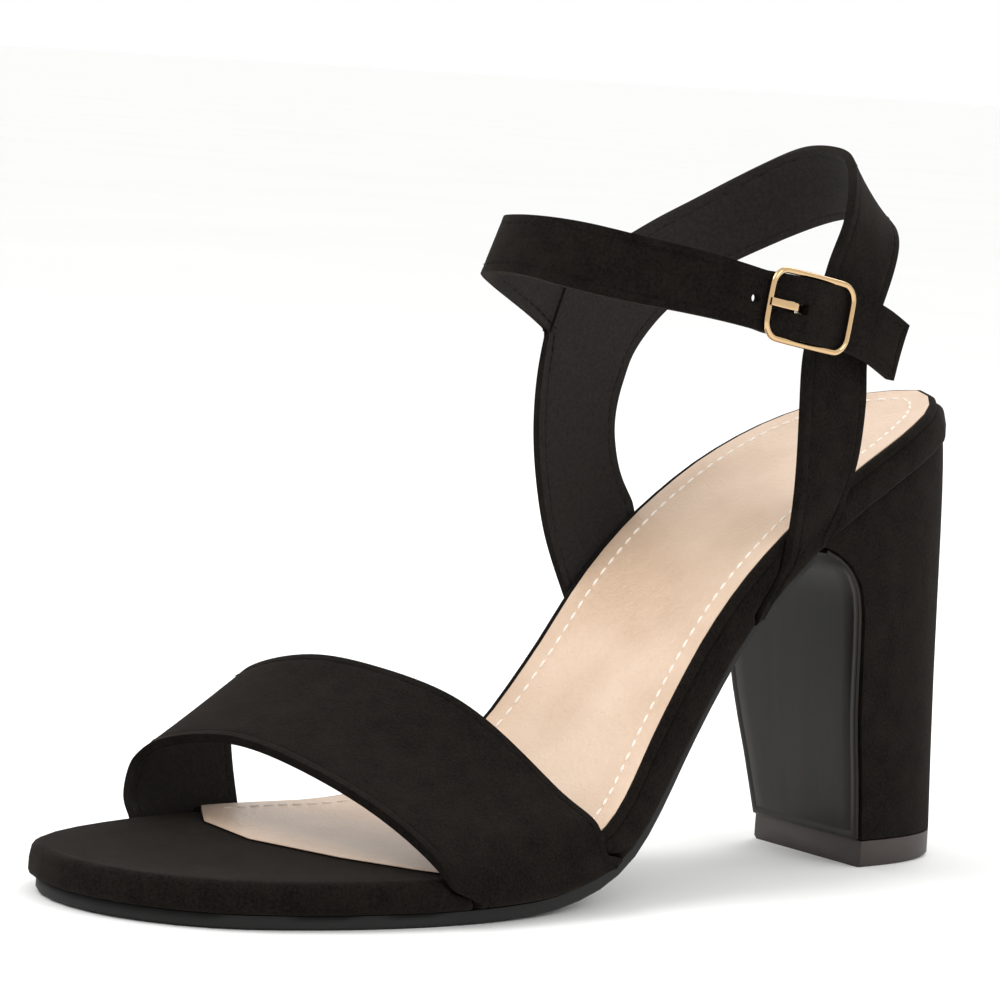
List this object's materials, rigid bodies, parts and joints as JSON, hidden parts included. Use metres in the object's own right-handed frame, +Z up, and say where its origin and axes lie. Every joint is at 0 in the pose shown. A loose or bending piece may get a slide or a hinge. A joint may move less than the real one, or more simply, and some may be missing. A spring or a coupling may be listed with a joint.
{
  "type": "block heel sandal",
  "caption": "Left block heel sandal in black suede cloth: slanted toe band, ankle strap with a small gold frame buckle, tall tapered heel.",
  "frame": {"origin": "On the floor under the middle of the heel, on the lower face of the top lift.", "axes": "+Z up, toe toward -Y, outer side of the foot toward +X."},
  "size_m": [0.0879, 0.2177, 0.1478],
  "materials": {
    "suede": "brownish black suede cloth with a short nap",
    "sole_rubber": "matte black rubber",
    "sock": "smooth nude lining leather with a slight sheen",
    "satin": "smooth grey-black satin cloth",
    "lift_rubber": "hard dark rubber, half matte",
    "gold": "polished light gold plating"
  },
  "bodies": {
    "root": {"footbed": "suede", "outsole": "sole_rubber", "insole": "sock", "heel": "suede", "heel_breast": "satin", "top_lift": "lift_rubber", "vamp_strap": "suede", "ankle_upper": "suede", "buckle_frame": "gold", "buckle_tab": "suede", "buckle_prong": "gold"}
  },
  "joints": []
}
